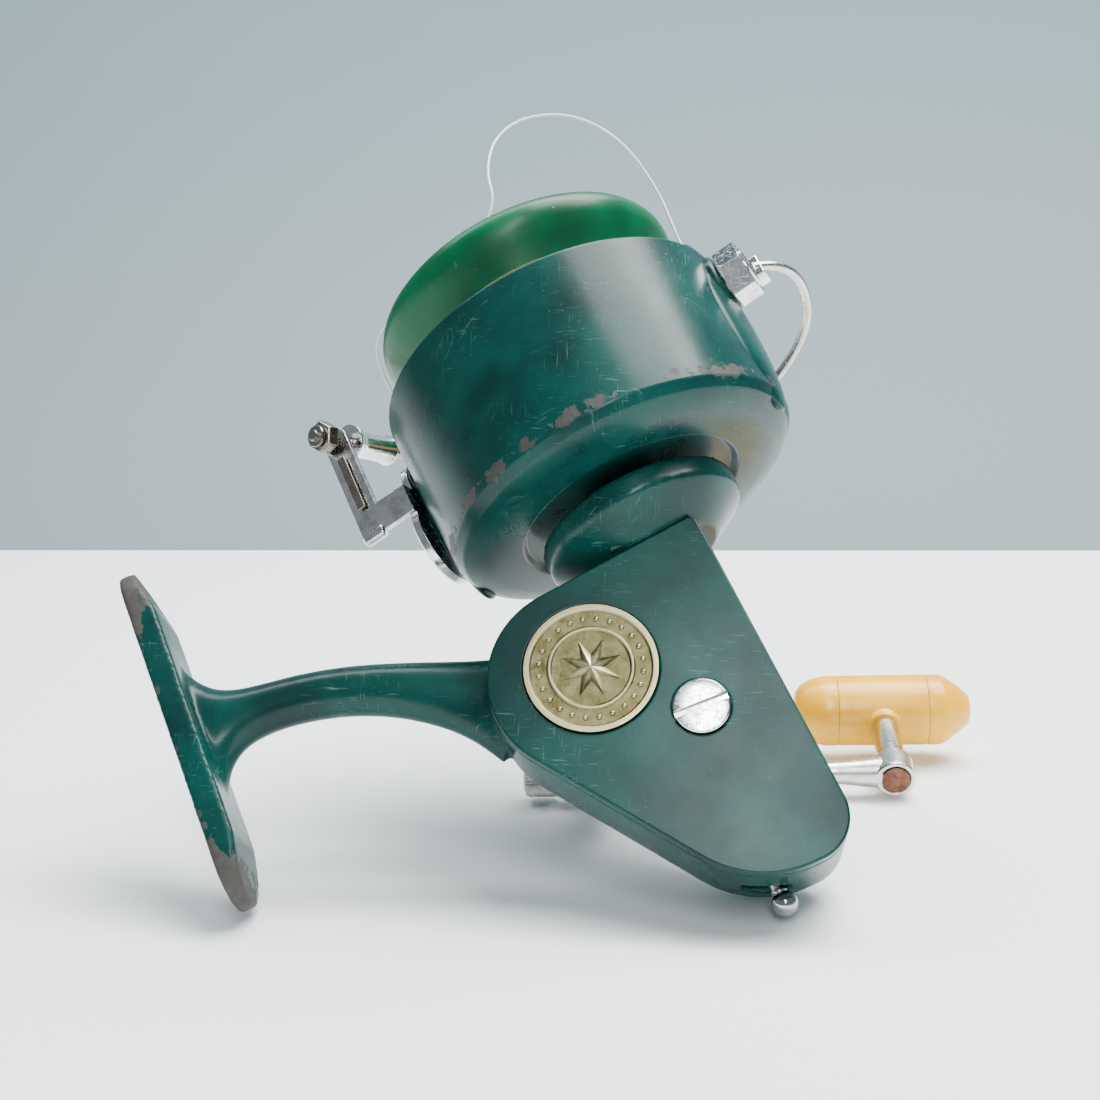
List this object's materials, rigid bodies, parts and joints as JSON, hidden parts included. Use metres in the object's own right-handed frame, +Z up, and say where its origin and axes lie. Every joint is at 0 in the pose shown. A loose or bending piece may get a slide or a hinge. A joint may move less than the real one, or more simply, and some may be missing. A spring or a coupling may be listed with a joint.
{
  "type": "spinning reel",
  "caption": "Open-faced spinning fishing reel with offset case, rod foot on a curved stem, cup rotor, flip-over bail, skirted-in spool and folding crank.",
  "frame": {"origin": "centre of the bounding box, at the level of the table that the reel lies on", "axes": "+Z up from the table, +X from the tip of the rod foot towards the lever ball, -Y towards the side plate; the reel's own spool axis is tilted in this frame"},
  "size_m": [0.1704, 0.1116, 0.1452],
  "materials": {
    "green_enamel": "glossy dark green enamel, chipped and scratched",
    "green_plastic": "moulded green plastic, worn rim",
    "antique_brass": "dull antique brass",
    "bright_chrome": "scratched bright chrome plating",
    "dark_steel": "tarnished plated steel",
    "nickel_arm": "aged satin nickel",
    "polished_ball": "polished steel ball",
    "turned_steel": "plain turned stainless steel",
    "gear_brass": "greased machined bronze",
    "amber_plastic": "polished amber yellow plastic",
    "gold_line": "wound nylon line, old gold",
    "clear_line": "clear nylon line",
    "drag_felt": "oiled felt washers"
  },
  "bodies": {
    "frame": {"housing": "green_enamel", "side_plate": "green_enamel", "badge": "antique_brass", "plate_screw": "bright_chrome", "bearing_outer_ring": "turned_steel", "bearing_balls": "turned_steel", "inner_bush": "gear_brass", "outer_bush": "gear_brass", "lever_pivot_pin": "dark_steel"},
    "lever": {"anti_reverse_lever": "turned_steel", "lever_ball": "polished_ball"},
    "drive": {"drive_gear": "gear_brass", "crank_shaft": "nickel_arm", "eccentric_pin": "turned_steel"},
    "crank": {"crank_arm": "nickel_arm", "crank_lock_nut": "nickel_arm", "knob_stud": "dark_steel", "knob_clip": "dark_steel"},
    "knob": {"knob_grip": "amber_plastic", "knob_end_caps": "amber_plastic"},
    "rotor": {"rotor": "green_enamel", "pinion": "gear_brass", "rotor_nut": "dark_steel", "bearing_inner_ring": "turned_steel", "bail_block_screw": "bright_chrome", "bail_arm_screw": "bright_chrome"},
    "bail": {"bail_block": "bright_chrome", "bail_arm": "bright_chrome", "bail_wire": "turned_steel", "roller_pin": "dark_steel", "roller_nut": "dark_steel"},
    "roller": {"line_roller": "bright_chrome"},
    "shaft": {"main_shaft": "turned_steel", "crosswind_yoke": "turned_steel", "spool_seat_washer": "turned_steel"},
    "spool": {"spool": "green_plastic", "wound_line": "gold_line", "line_loop": "clear_line", "drag_washers": "drag_felt"},
    "drag": {"drag_knob": "green_plastic"}
  },
  "joints": [
    {"name": "crank_turn", "type": "hinge", "parent": "frame", "child": "drive", "pos_m": [0.00834, 0.01647, 0.00563], "axis": [-0.0364, 0.8162, -0.5767], "continuous": true},
    {"name": "rotor_turn", "type": "hinge", "parent": "frame", "child": "rotor", "pos_m": [0.01201, 0.00009, 0.07204], "axis": [-0.4327, 0.5073, 0.7453], "continuous": true},
    {"name": "crank_fold", "type": "hinge", "parent": "drive", "child": "crank", "pos_m": [0.00834, 0.01647, 0.00563], "axis": [0.9992, 0.0408, -0.0054], "range_deg": [-49, 30]},
    {"name": "knob_turn", "type": "hinge", "parent": "crank", "child": "knob", "pos_m": [0.06559, 0.04399, 0.01149], "axis": [-0.0384, 0.9705, 0.2382], "continuous": true},
    {"name": "bail_flip", "type": "hinge", "parent": "rotor", "child": "bail", "pos_m": [0.00197, 0.01186, 0.08933], "axis": [0.8488, -0.0492, 0.5264], "range_deg": [0, 90]},
    {"name": "roller_turn", "type": "hinge", "parent": "bail", "child": "roller", "pos_m": [-0.0489, 0.01446, 0.08003], "axis": [0.513, 0.8183, -0.2591], "continuous": true},
    {"name": "spool_stroke", "type": "slide", "parent": "frame", "child": "shaft", "axis": [-0.4327, 0.5073, 0.7453], "range_m": [-0.009, 0.004]},
    {"name": "spool_slip", "type": "hinge", "parent": "shaft", "child": "spool", "pos_m": [0.00101, 0.01298, 0.09097], "axis": [-0.4327, 0.5073, 0.7453], "continuous": true},
    {"name": "drag_turn", "type": "hinge", "parent": "shaft", "child": "drag", "pos_m": [-0.00721, 0.02261, 0.10513], "axis": [-0.4327, 0.5073, 0.7453], "range_deg": [-180, 180]},
    {"name": "lever_tilt", "type": "hinge", "parent": "frame", "child": "lever", "pos_m": [0.03604, -0.039, 0.01519], "axis": [-0.0364, 0.8162, -0.5767], "range_deg": [0, 12]}
  ],
  "couplings": [
    {"joint": "rotor_turn", "follows": "crank_turn", "ratio": 3.8}
  ]
}
